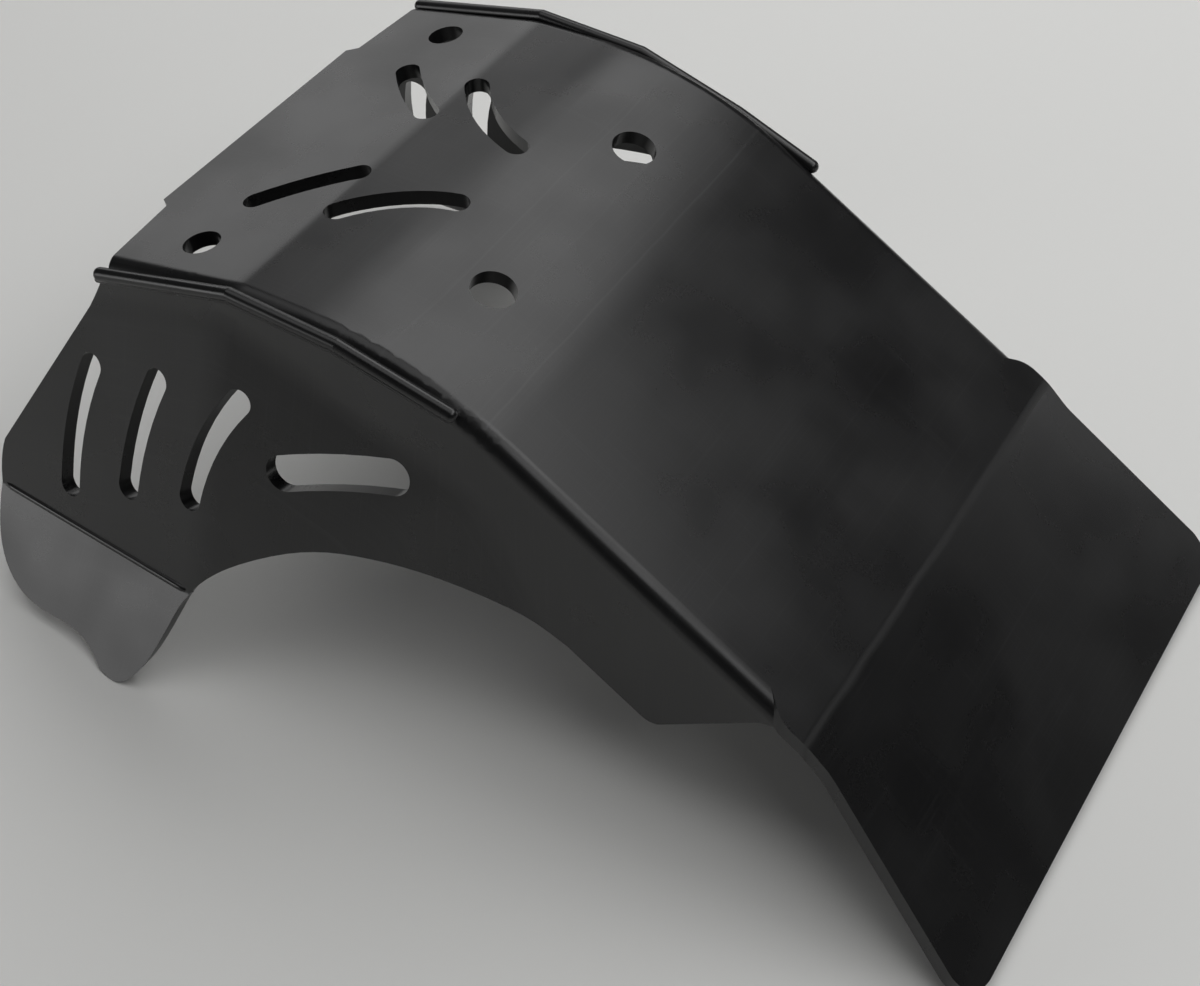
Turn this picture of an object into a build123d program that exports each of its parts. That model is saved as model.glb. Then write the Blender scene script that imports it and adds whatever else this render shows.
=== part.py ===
from build123d import *
import math
import os

sheet = 8.0                  # plastic sheet thickness

rear_len = 87.5              # panel behind the first cross fold, up to the swept corners
tab_out = 6.0                # how far the middle of the rear edge stands proud
tab_half = 80.0              # half width of that middle part
corner_sweep = 5.0           # how far the rear edge falls back at its corners
upper_len = 64.0             # panel between the first and second cross folds
lower_len = 61.0             # panel between the second and third cross folds
floor_len = 215.0            # flat floor panel
nose_len = 143.5             # front panel
bend_one = 11.2              # turn at the first cross fold, degrees
bend_two = 15.7              # turn at the second cross fold
bend_three = 17.5            # turn at the third cross fold
bend_nose = 11.9             # turn at the fold in front of the floor panel
fold_radius = 40.0           # outer radius of the first cross fold and the front fold
soft_share = 0.44            # share of the lower panel that each of its two soft folds takes up

mid_half = 134.0             # half width at the third cross fold
side_taper = 0.012           # narrowing of the sides per mm towards the rear
free_half = 138.0            # half width where the front panel starts
nose_half = 163.0            # half width at the front edge
nose_flare = -232.0          # where the front panel starts to widen
nose_corner = 17.0           # radius of the front corners
flare_radius = 40.0          # softening of the side edge where it starts to widen
side_fold = 9.0              # outer radius of the long side edges

hinge_y = 111.0              # where the two outward bends of the wing meet
hinge_z = -76.0
hinge_rear = 47.0            # slope of the rear bend line, degrees
hinge_mid = 15.0             # slope of the middle bend line
fade_y = -100.0              # a point on the line where the outward bend dies out
fade_z = -87.0
fade_slope = 35.0
splay = 18.0                 # outward lean of the wing, degrees
fade_splay = 16.0            # lean of its front part
wing_radius = 60.0           # radius of the soft bends where the wing leaves the upright side
ridge_radius = 120.0         # radius of the soft ridges between the flats of the wing

crease_y = 39.7              # front end of the crease above the flared lip
crease_z = -211.1
crease_slope = 29.5          # fall of the crease towards the rear
crease_toe = 7.6             # inward run of the crease towards the rear
lip_turn = 36.0              # outward lean of the flared lip
crease_radius = 9.0          # outer radius of the crease

hole_rear_dia = 19.0
hole_rear_x = 102.5
hole_rear_from = 44.3        # behind the first cross fold
hole_mid_dia = 22.8
hole_mid_x = 63.4
hole_mid_from = 26.5         # behind the third cross fold

wing_slot = 13.5             # width of the three long wing slots
wing_slot_wide = 19.0        # width of the front wing slot
top_slot = 13.0              # width of the slots in the two rear panels
slot_one = ((149.5, -170), (141, -201), (122.5, -238.5))
slot_two = ((117, -137), (110.5, -166), (96.5, -201))
slot_three = ((79, -101), (78, -131), (68, -167))
slot_four = ((40.5, -111), (20, -85), (1, -65))
slot_rear = ((-64, 42), (-44, 23), (-29, 4))
slot_upper = ((-60, -6), (-40, -25), (-26, -52))

wing_rear_y = 167.0          # rear edge of the wing
wing_rear_top = -145.0
lip_rear = -262.0            # rear end of the lip's lower edge
lip_points = ((155.0, -285.0), (126.0, -303.0), (100.0, -299.0), (73.0, -282.0))
tip_start = (47.5, -276.5)   # front tip of the lip
tip_points = ((32.5, -265.0), (31.0, -246.0))
arch_start = (37.0, -218.0)  # where the open arch leaves the lip
arch_points = ((36.0, -196.0), (24.0, -162.0), (0.0, -125.0), (-45.0, -95.5), (-84.0, -83.0))
skirt_low = -77.0            # lower edge of the front skirt
skirt_rear = -113.0          # where the arch runs into that edge
skirt_turn = -160.0          # where the edge turns up
slant_start = (-170.0, -71.0)
slant_end = (-193.0, -17.0)  # top of the slanted front edge of the skirt
skirt_front = -228.0         # where the slanted edge has run out into the front panel
skirt_free = -186.0          # where the front panel's own side edge starts
skirt_even = -199.0          # where it has come level with the turned-down edge
even_half = 138.0            # half width there

bead_radius = 3.6            # weld bead
second_radius = 1.9          # smaller second run of the weld
second_drop = 5.9            # how far it lies below the bead
bead_drop = 1.3              # how far the bead's centre lies below the fold lines
left_sag = (8.0, 1.0, 6.0, 3.0)  # how much lower it runs at the rear edge and at each fold
right_sag = (1.0, 0.0, 5.0, 8.0)
bead_short = 6.0             # the bead stops this far before the rear edge
bead_extra = 47.0            # the bead on the right side runs on this far past the third fold

far = 400.0                  # beyond the part on every side


def half_space(point, normal, along, inset):
    plane = Plane(origin=point, x_dir=along, z_dir=normal)
    return plane * Pos(0, 0, -far - inset) * Box(4 * far, 4 * far, 2 * far)


def on_side(y, z):
    return Vector(side_taper * y - mid_half, y, z)


side_out = Vector(-1, side_taper, 0).normalized()


def leaned(y, z, slope, angle):
    q = math.radians(slope)
    along = Vector(side_taper * math.cos(q), math.cos(q), -math.sin(q)).normalized()
    up = along.cross(side_out)
    up = up if up.Z > 0 else up * -1
    turn = math.radians(angle)
    return on_side(y, z), side_out * math.cos(turn) + up * math.sin(turn), along


wing_rear = leaned(hinge_y, hinge_z, hinge_rear, splay)
wing_mid = leaned(hinge_y, hinge_z, hinge_mid, splay)
wing_front = leaned(fade_y, fade_z, -fade_slope, fade_splay)


def on_plane(flat, y, z):
    point, normal, along = flat
    x = point.X - (normal.Y * (y - point.Y) + normal.Z * (z - point.Z)) / normal.X
    return Vector(x, y, z)


crease_dir = Vector(
    math.sin(math.radians(crease_toe)),
    math.cos(math.radians(crease_slope)),
    -math.sin(math.radians(crease_slope)),
).normalized()
lip_flat = (Vector(-1, 0, 0) + crease_dir * crease_dir.X).normalized()
lip_up = crease_dir.cross(lip_flat)
lip_up = lip_up if lip_up.Z > 0 else lip_up * -1
lip_normal = lip_flat * math.cos(math.radians(lip_turn)) + lip_up * math.sin(math.radians(lip_turn))
lip = (on_plane(wing_rear, crease_y, crease_z), lip_normal, crease_dir)


wall = (on_side(0, 0), side_out, Vector(0, 0, 1))


def between(body, one, two, inset):
    found = []
    for edge in body.edges():
        spots = [edge @ 0, edge @ 0.5, edge @ 1]
        gaps = [abs((spot - flat[0]).dot(flat[1]) + inset) for spot in spots for flat in (one, two)]
        if max(gaps) < 0.01:
            found.append(edge)
    return found


def side_block(inset):
    wing = half_space(*wing_rear, inset) & half_space(*wing_mid, inset) & half_space(*wing_front, inset)
    ridges = between(wing, wing_rear, wing_mid, inset) + between(wing, wing_mid, wing_front, inset)
    wing = fillet(ridges, ridge_radius)
    low = Pos(-far / 2, far / 4, crease_z + 21 - far / 2) * Box(2 * far, far, far)
    return half_space(*wall, inset) + wing + (half_space(*lip, inset) & low)


s3 = bend_three
s2 = s3 + bend_two
s1 = s2 + bend_one


def ahead(y, z, length, slope):
    q = math.radians(slope)
    return (y + length * math.cos(q), z - length * math.sin(q))


fold3 = (0.0, 0.0)
fold2 = ahead(*fold3, lower_len, s3)
fold1 = ahead(*fold2, upper_len, s2)
rear = ahead(*fold1, rear_len, s1)
rear_far = ahead(*fold1, 2 * rear_len, s1)
fold_nose = (-floor_len, 0.0)
nose_end = ahead(*fold_nose, nose_len, 180 - bend_nose)
front_far = ahead(*fold_nose, far, 180 - bend_nose)

soft_two = soft_share * lower_len / math.tan(math.radians(bend_two / 2))
soft_three = soft_share * lower_len / math.tan(math.radians(bend_three / 2))
radii = (fold_radius, soft_two, soft_three, fold_radius)
top_line = FilletPolyline(rear_far, fold1, fold2, fold3, fold_nose, front_far, radius=radii)
rest_line = Polyline(front_far, (front_far[0], -far), (rear_far[0], -far), rear_far)
profile = make_face([*top_line.edges(), *rest_line.edges()])
inner_profile = offset(profile, amount=-sheet)


def envelope(face, inset):
    prism = extrude(Plane.YZ * face, amount=-far)
    body = prism & side_block(inset)
    bends = [edge for flat in (wing_rear, wing_mid, wing_front) for edge in between(body, wall, flat, inset)]
    body = fillet(bends, wing_radius)
    crease = between(body, lip, wing_rear, inset) + between(body, lip, wing_mid, inset)
    return fillet(crease, crease_radius)


outer = envelope(profile, 0)
edge_point, edge_normal, edge_along = wall
long_edges = []
for edge in outer.edges():
    spots = [edge @ 0, edge @ 0.5, edge @ 1]
    on_wall = max(abs((spot - edge_point).dot(edge_normal)) for spot in spots) < 0.01
    on_top = max(abs(top_line.distance_to(Vector(spot.Y, spot.Z))) for spot in spots) < 0.01
    if on_wall and on_top:
        long_edges.append(edge)
outer = fillet(long_edges, side_fold)
inner = envelope(inner_profile, sheet)
shell = outer - inner

rear_up = Vector(math.sin(math.radians(s1)), math.cos(math.radians(s1)))
rear_top = Vector(*rear) + rear_up * rear_len
rear_low = Vector(*rear) - rear_up * sheet
back_line = Polyline(
    (skirt_front, rear_len),
    (rear_top.X, rear_top.Y),
    (rear_low.X, rear_low.Y),
    (wing_rear_y, wing_rear_top),
    (wing_rear_y, lip_rear),
)
lip_line = Spline((wing_rear_y, lip_rear), *lip_points, tip_start)
tip_line = Spline(tip_start, *tip_points, arch_start)
arch_line = Spline(arch_start, *arch_points, (skirt_rear, skirt_low))
skirt_line = Polyline((skirt_rear, skirt_low), (skirt_turn, skirt_low))
slant = Vector(*slant_end) - Vector(*slant_start)
corner_line = Spline((skirt_turn, skirt_low), slant_start, tangents=((-1, 0), (slant.X, slant.Y)))
slant_line = Polyline(slant_start, slant_end)
nose_run = Vector(*nose_end) - Vector(*fold_nose)
run_end = (skirt_front, (skirt_front - fold_nose[0]) * nose_run.Y / nose_run.X)
run_out = Spline(slant_end, run_end, tangents=((slant.X, slant.Y), (nose_run.X, nose_run.Y)))
front_line = Polyline(run_end, (skirt_front, rear_len))
pieces = (back_line, lip_line, tip_line, arch_line, skirt_line, corner_line, slant_line, run_out, front_line)
outline = make_face([edge for piece in pieces for edge in piece.edges()])
shell = shell & extrude(Plane.YZ * outline, amount=-far)


def wing_cut(flat, points, width):
    plane = Plane(origin=flat[0], x_dir=flat[2], z_dir=flat[1])
    flat_points = [plane.to_local_coords(on_plane(flat, *point)) for point in points]
    return extrude(plane * SlotArc(ThreePointArc(*flat_points), width), amount=3 * sheet, both=True)


def panel_plane(fold, slope):
    q = math.radians(slope)
    return Plane(origin=(0, *fold), x_dir=(1, 0, 0), z_dir=(0, math.sin(q), math.cos(q)))


rear_plane = panel_plane(fold1, s1)
upper_plane = panel_plane(fold1, s2)
lower_plane = panel_plane(fold3, s3)
cuts = [
    wing_cut(wing_rear, slot_one, wing_slot),
    wing_cut(wing_rear, slot_two, wing_slot),
    wing_cut(wing_rear, slot_three, wing_slot),
    wing_cut(wing_mid, slot_four, wing_slot_wide),
    extrude(rear_plane * SlotArc(ThreePointArc(*slot_rear), top_slot), amount=2 * sheet, both=True),
    extrude(upper_plane * SlotArc(ThreePointArc(*slot_upper), top_slot), amount=2 * sheet, both=True),
    extrude(rear_plane * Pos(-hole_rear_x, hole_rear_from) * Circle(hole_rear_dia / 2), amount=2 * sheet, both=True),
    extrude(lower_plane * Pos(-hole_mid_x, hole_mid_from) * Circle(hole_mid_dia / 2), amount=2 * sheet, both=True),
]
sweep_back = make_face(Polyline(
    (-tab_half, rear_len),
    (-mid_half, rear_len - corner_sweep),
    (-2 * mid_half, rear_len - corner_sweep),
    (-2 * mid_half, 2 * rear_len),
    (-tab_half, 2 * rear_len),
    close=True,
))
cuts.append(extrude(rear_plane * sweep_back, amount=1.2 * sheet, both=True))
shell = shell - cuts


def bead_run(sag, extra, drop, radius):
    spots = [ahead(*rear, -bead_short, s1), fold1, fold2, fold3]
    points = [on_side(y, z - drop - low) for (y, z), low in zip(spots, sag)]
    if extra:
        points.append(on_side(-extra, -drop))
    body = Pos(points[0]) * Sphere(radius)
    for start, end in zip(points, points[1:]):
        rod = extrude(Plane(origin=start, z_dir=end - start) * Circle(radius), amount=(end - start).length)
        body = body + rod + Pos(end) * Sphere(radius)
    return body


def bead(sag, extra):
    return bead_run(sag, extra, bead_drop, bead_radius) + bead_run(sag, extra, second_drop, second_radius)


left = shell + bead(left_sag, 0)
right = mirror(shell + bead(right_sag, bead_extra), about=Plane.YZ)

nose_start = slant_end[0] + 2 * sheet
nose_top = FilletPolyline((nose_start, 0), fold_nose, nose_end, radius=fold_radius)
nose_face = make_face(offset(nose_top, amount=sheet, side=Side.LEFT).edges())
level_half = mid_half - side_taper * skirt_free - side_fold
side_points = (
    (nose_start, level_half - sheet),
    (skirt_free, level_half),
    (skirt_even, even_half),
    (nose_flare, free_half),
    (nose_end[0], nose_half),
)
left_side = [(-x, y) for y, x in side_points]
right_side = [(x, y) for y, x in reversed(side_points)]
plan = make_face(Polyline(*left_side, *right_side, close=True))
by_length = plan.vertices().sort_by(Axis.Y)
plan = fillet(by_length[:2], nose_corner)
plan = fillet(plan.vertices().sort_by(Axis.Y)[4:6], flare_radius)
plan = fillet(plan.vertices().sort_by(Axis.Y)[8:10], flare_radius / 2)
nose = extrude(Plane.YZ * nose_face, amount=far, both=True) & extrude(Pos(0, 0, -far / 2) * plan, amount=far)

tab = make_face(Polyline(
    (-tab_half, rear_len - sheet),
    (-tab_half, rear_len),
    (-tab_half + 4, rear_len + tab_out),
    (tab_half - 4, rear_len + tab_out),
    (tab_half, rear_len),
    (tab_half, rear_len - sheet),
    close=True,
))
tab = extrude(rear_plane * tab, amount=-sheet)

whole = left + right + nose + tab


def lowest(shape, pitch):
    return (Rot(pitch, 0, 0) * shape).bounding_box().min.Z


low, high = 20.0, 40.0
for step in range(24):
    pitch = (low + high) / 2
    if lowest(nose, pitch) < lowest(left, pitch):
        high = pitch
    else:
        low = pitch
print("pitch", pitch)
whole = Rot(pitch, 0, 0) * whole
box = whole.bounding_box()
whole = Pos(-box.center().X, -box.center().Y, -box.min.Z) * whole
print("box", box.size, "volume", whole.volume, whole.is_valid, len(whole.solids()))
os.makedirs("parts", exist_ok=True)
export_step(whole, "parts/skid_plate.step")
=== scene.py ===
import math

import bmesh
import bpy
from mathutils import Matrix, Vector


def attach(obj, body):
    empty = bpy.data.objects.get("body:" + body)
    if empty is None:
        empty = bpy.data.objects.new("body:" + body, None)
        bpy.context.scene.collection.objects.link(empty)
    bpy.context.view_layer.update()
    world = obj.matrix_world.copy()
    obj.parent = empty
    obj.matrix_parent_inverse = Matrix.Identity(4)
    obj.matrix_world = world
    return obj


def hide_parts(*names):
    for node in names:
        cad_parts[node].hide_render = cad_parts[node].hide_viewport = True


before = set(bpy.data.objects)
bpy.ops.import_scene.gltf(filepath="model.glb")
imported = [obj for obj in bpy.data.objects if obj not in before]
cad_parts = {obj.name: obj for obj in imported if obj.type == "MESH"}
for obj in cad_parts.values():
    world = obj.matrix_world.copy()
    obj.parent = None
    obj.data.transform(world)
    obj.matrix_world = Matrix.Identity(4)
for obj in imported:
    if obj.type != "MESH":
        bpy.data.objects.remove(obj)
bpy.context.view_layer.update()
scene = bpy.context.scene
scene.view_settings.view_transform = "Standard"
mm = 0.001


def srgb(code):  # hex colour to the linear values a shader socket takes
    parts = [int(code[i:i + 2], 16) / 255 for i in (1, 3, 5)]
    linear = [p / 12.92 if p <= 0.04045 else ((p + 0.055) / 1.055) ** 2.4 for p in parts]
    return (*linear, 1.0)


def node(tree, kind, settings=None, **links):
    made = tree.nodes.new(kind)
    for key, value in (settings or {}).items():
        if isinstance(key, int) or key in made.inputs:
            made.inputs[key].default_value = value
        else:
            setattr(made, key, value)
    for key, source in links.items():  # _0 is the first input, and Base_Color is Base Color
        socket = int(key[1:]) if key[1:].isdigit() else key.replace("_", " ")
        tree.links.new(source, made.inputs[socket])
    return made


camera = {
    "place": (-0.63611, -0.37314, 0.81704),
    "forward": (0.59101, 0.35714, -0.72330),
    "right": (0.51954, -0.85444, 0.00261),
    "lens": 59.64,
    "sensor": 36.0,
}


def addCamera(spec):
    data = bpy.data.cameras.new("camera")
    data.sensor_fit = "HORIZONTAL"
    data.sensor_width = spec["sensor"]
    data.lens = spec["lens"]
    obj = bpy.data.objects.new("camera", data)
    ahead = Vector(spec["forward"]).normalized()
    side = Vector(spec["right"])
    side = (side - ahead * side.dot(ahead)).normalized()
    up = side.cross(ahead)
    turn = Matrix((side, up, -ahead)).transposed().to_4x4()
    obj.matrix_world = Matrix.Translation(spec["place"]) @ turn
    scene.collection.objects.link(obj)
    scene.camera = obj


addCamera(camera)
print("camera set")

plate = {
    "mergeDistance": 0.01 * mm,
    "flatAngle": math.radians(0.4),      # triangles flatter than this join into one face
    "edgeAngle": math.radians(28),       # a sharper edge than this is a cut edge
    "edgeWidth": 0.7 * mm,               # how far a scraped cut edge is broken
    "edgeSegments": 2,
}


def makePlate(spec, source):
    bm = bmesh.new()
    bm.from_mesh(source.data)
    bmesh.ops.remove_doubles(bm, verts=bm.verts, dist=spec["mergeDistance"])
    bmesh.ops.dissolve_limit(bm, angle_limit=spec["flatAngle"], verts=bm.verts, edges=bm.edges)
    sharp = [e for e in bm.edges if e.is_manifold and e.calc_face_angle(0) > spec["edgeAngle"]]
    bmesh.ops.bevel(
        bm, geom=sharp, offset=spec["edgeWidth"], offset_type="OFFSET", affect="EDGES",
        segments=spec["edgeSegments"], profile=0.5, material=-1, clamp_overlap=True,
    )
    for face in bm.faces:
        face.smooth = True
    mesh = bpy.data.meshes.new("plate")
    bm.to_mesh(mesh)
    bm.free()
    obj = bpy.data.objects.new("plate", mesh)
    scene.collection.objects.link(obj)
    even = obj.modifiers.new("even shading", "WEIGHTED_NORMAL")
    even.mode = "FACE_AREA"
    even.keep_sharp = True
    return obj


plateObj = makePlate(plate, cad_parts["skid_plate"])
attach(plateObj, "root")
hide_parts("skid_plate")
print("plate", len(plateObj.data.polygons), "faces")

ridge = {  # the small roll of plastic that hot bending leaves along the crease of each lip
    "front": (-180.9 * mm, 144.2 * mm, 54.1 * mm),
    "rear": (-168.4 * mm, 284.2 * mm, 49.1 * mm),
    "outward": (-0.88, 0.09, 0.45),
    "radius": 2.1 * mm,
    "sink": 0.9 * mm,                    # how deep its middle lies in the plate
    "steps": 40,
    "sides": 12,
    "endRun": 0.06,                      # share of the length over which it runs out
    "endSize": 0.05,                     # share of the radius that is left at its ends
}


def makeRidge(spec, side):
    flip = Vector((side, 1, 1))
    front = Vector(spec["front"]) * flip
    run = Vector(spec["rear"]) * flip - front
    ahead = run.normalized()
    out = (Vector(spec["outward"]) * flip).normalized()
    out = (out - ahead * out.dot(ahead)).normalized()
    over = ahead.cross(out)
    turns = [2 * math.pi * k / spec["sides"] for k in range(spec["sides"])]
    bm = bmesh.new()
    rings = []
    for i in range(spec["steps"] + 1):
        share = i / spec["steps"]
        end = min(share, 1 - share, spec["endRun"]) / spec["endRun"]
        size = spec["radius"] * max(spec["endSize"], math.sqrt(1 - (1 - end) ** 2))
        middle = front + run * share - out * (spec["sink"] + spec["radius"] - size)
        ring = [middle + (out * math.cos(t) + over * math.sin(t)) * size for t in turns]
        rings.append([bm.verts.new(spot) for spot in ring])
    for one, two in zip(rings, rings[1:]):
        for k in range(spec["sides"]):
            bm.faces.new((one[k - 1], one[k], two[k], two[k - 1]))
    bm.faces.new(rings[0])
    bm.faces.new(rings[-1])
    bmesh.ops.recalc_face_normals(bm, faces=bm.faces)
    for face in bm.faces:
        face.smooth = True
    name = "lip_ridge_left" if side > 0 else "lip_ridge_right"
    mesh = bpy.data.meshes.new(name)
    bm.to_mesh(mesh)
    bm.free()
    obj = bpy.data.objects.new(name, mesh)
    scene.collection.objects.link(obj)
    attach(obj, "root")
    return obj


ridges = [makeRidge(ridge, side) for side in (1, -1)]
print("lip ridges", [len(r.data.polygons) for r in ridges])

# Black high-density polyethylene sheet, rolled smooth and hot folded: a satin skin with
# a faint haze, hairlines rubbed along and across the sheet, pale witness lines that the
# heating bar left across it, and a dull one where the nose fold starts.
sheetPlastic = {
    "colour": "#0a0a0b",
    "wornColour": "#222223",
    "ior": 1.5,
    "roughLow": 0.24,
    "roughHigh": 0.34,
    "roughNoise": (0.35, 0.65),          # the mixed noise that gives the low and the high one
    "hazeSize": 70 * mm,
    "hazeDetail": 2.0,
    "hazeShare": 0.92,                   # how much of the mixed noise is haze
    "grainSize": 1.6 * mm,
    "grainDetail": 3.0,
    "grainShare": 0.08,
    "hairSize": 0.9 * mm,
    "hairLength": 90 * mm,
    "hairDetail": 2.0,
    "hairNoise": (0.55, 0.8),            # the noise at which a hairline starts and is full
    "hairTone": 0.45,                    # how far a hairline goes to the worn colour
    "hairBump": 0.07,
    "hairDepth": 0.15 * mm,
    "barLines": (                        # y in metres, and strength
        (-0.0075, 1.0), (-0.0015, 0.35), (0.0190, 0.5), (0.0460, 0.7),
    ),
    "barFacing": (0.70, 0.78),           # only faces that look up this far carry a line
    "barWidth": 0.8 * mm,
    "barBow": 5.0 * mm,                  # how far a line wanders off straight
    "noseLine": -0.1795,                 # y of the dull line, in metres
    "noseWidth": 2.2 * mm,
    "noseRough": 0.18,                   # roughness added there
}


def makeSheetPlastic(spec):
    mat = bpy.data.materials.new("satin_black_polyethylene")
    mat.use_nodes = True
    tree = mat.node_tree
    shader = tree.nodes["Principled BSDF"]
    shader.inputs["IOR"].default_value = spec["ior"]
    given = node(tree, "ShaderNodeTexCoord").outputs
    spot = given["Object"]
    facing = node(tree, "ShaderNodeSeparateXYZ", Vector=given["Normal"]).outputs["Z"]

    def noise(wide, long, high, detail):
        scale = (1 / wide, 1 / long, 1 / high)
        sized = node(tree, "ShaderNodeMapping", {"Scale": scale}, Vector=spot).outputs["Vector"]
        settings = {"Scale": 1.0, "Detail": detail}
        return node(tree, "ShaderNodeTexNoise", settings, Vector=sized).outputs["Fac"]

    def maths(kind, one, two):
        settings = {"operation": kind}
        links = {"_0": one}
        if isinstance(two, float):
            settings[1] = two
        else:
            links["_1"] = two
        return node(tree, "ShaderNodeMath", settings, **links).outputs["Value"]

    def ramp(value, low, high, start, end):
        settings = {"From Min": low, "From Max": high, "To Min": start, "To Max": end}
        return node(tree, "ShaderNodeMapRange", settings, Value=value).outputs["Result"]

    def crossing(along, middle, width):
        gap = maths("ABSOLUTE", maths("SUBTRACT", along, middle), 0.0)
        return ramp(gap, 0.0, width, 1.0, 0.0)

    size, length, detail = spec["hairSize"], spec["hairLength"], spec["hairDetail"]
    haze = noise(spec["hazeSize"], spec["hazeSize"], spec["hazeSize"], spec["hazeDetail"])
    grain = noise(spec["grainSize"], spec["grainSize"], spec["grainSize"], spec["grainDetail"])
    lengthways = noise(size, length, length, detail)
    across = noise(length, size, length, detail)
    hairs = ramp(maths("MAXIMUM", lengthways, across), *spec["hairNoise"], 0.0, 1.0)

    bow = maths("MULTIPLY", maths("SUBTRACT", haze, 0.5), spec["barBow"])
    along = maths("ADD", node(tree, "ShaderNodeSeparateXYZ", Vector=spot).outputs["Y"], bow)
    marks = maths("MULTIPLY", hairs, spec["hairTone"])
    upper = ramp(facing, *spec["barFacing"], 0.0, 1.0)
    for middle, strength in spec["barLines"]:
        bar = maths("MULTIPLY", crossing(along, middle, spec["barWidth"]), strength)
        marks = maths("MAXIMUM", marks, maths("MULTIPLY", bar, upper))
    tone = node(tree, "ShaderNodeMix", {
        "data_type": "RGBA", 6: srgb(spec["colour"]), 7: srgb(spec["wornColour"]),
    }, _0=marks)
    tree.links.new(tone.outputs[2], shader.inputs["Base Color"])

    broad = maths("MULTIPLY", haze, spec["hazeShare"])
    mixed = maths("ADD", broad, maths("MULTIPLY", grain, spec["grainShare"]))
    rough = ramp(mixed, *spec["roughNoise"], spec["roughLow"], spec["roughHigh"])
    noseMark = crossing(along, spec["noseLine"], spec["noseWidth"])
    dull = maths("MULTIPLY", noseMark, spec["noseRough"])
    tree.links.new(maths("ADD", rough, dull), shader.inputs["Roughness"])

    height = maths("ADD", lengthways, across)
    settings = {"Strength": spec["hairBump"], "Distance": spec["hairDepth"]}
    bump = node(tree, "ShaderNodeBump", settings, Height=height)
    tree.links.new(bump.outputs["Normal"], shader.inputs["Normal"])
    return mat


blackSheet = makeSheetPlastic(sheetPlastic)
for piece in (plateObj, *ridges):
    piece.data.materials.clear()
    piece.data.materials.append(blackSheet)
print("material set")

studio = {
    "floorColour": "#dcdcda",
    "floorSize": 30.0,
    "floorDrop": 0.0003,                 # keeps the floor clear of the plate's lowest faces
    "floorRough": 0.9,
    "floorSpecular": 0.2,
    "worldColour": "#ffffff",
    "world": 0.06,
    "lamps": {  # name: place, point it faces, width and height, watts
        "overhead": ((1.15, -0.15, 1.9), (1.116, -0.244, 0.0), (1.3, 2.8), 27.0),
        "rear": ((1.25, 1.5, 0.85), (0.0, 0.1, 0.2), (1.4, 0.9), 4.8),
        "side": ((-2.5, 2.45, 0.65), (-0.2, 0.2, 0.1), (1.7, 1.2), 18.0),
        "right": ((1.9, -1.35, 0.5), (0.1, -0.2, 0.1), (0.7, 0.8), 2.2),
        "front": ((-0.55, -1.4, 1.9), (-0.12, -0.08, 0.17), (1.3, 0.6), 6.0),
        "strip": ((0.6, -1.15, 2.05), (-0.12, -0.1, 0.2), (1.2, 0.7), 3.0),
        "ceiling": ((-0.2, 0.2, 2.3), (-0.2, 0.1, 0.0), (1.4, 3.2), 14.0),
    },
}


def areaLight(name, place, aim, size, power):
    data = bpy.data.lights.new(name, "AREA")
    data.shape = "RECTANGLE"
    data.size, data.size_y = size
    data.energy = power
    obj = bpy.data.objects.new(name, data)
    obj.location = place
    obj.rotation_euler = (Vector(aim) - Vector(place)).to_track_quat("-Z", "Y").to_euler()
    scene.collection.objects.link(obj)


def makeStudio(spec):
    bm = bmesh.new()
    bmesh.ops.create_grid(bm, x_segments=1, y_segments=1, size=spec["floorSize"] / 2)
    mesh = bpy.data.meshes.new("floor")
    bm.to_mesh(mesh)
    bm.free()
    floor = bpy.data.objects.new("floor", mesh)
    floor.location.z = -spec["floorDrop"]
    scene.collection.objects.link(floor)
    mat = bpy.data.materials.new("pale_paper")
    mat.use_nodes = True
    shader = mat.node_tree.nodes["Principled BSDF"]
    shader.inputs["Base Color"].default_value = srgb(spec["floorColour"])
    shader.inputs["Roughness"].default_value = spec["floorRough"]
    shader.inputs["Specular IOR Level"].default_value = spec["floorSpecular"]
    mesh.materials.append(mat)
    world = bpy.data.worlds.new("studio")
    scene.world = world
    world.use_nodes = True
    back = world.node_tree.nodes["Background"]
    back.inputs["Color"].default_value = srgb(spec["worldColour"])
    back.inputs["Strength"].default_value = spec["world"]
    for name, values in spec["lamps"].items():
        areaLight(name, *values)


makeStudio(studio)
print("studio set")
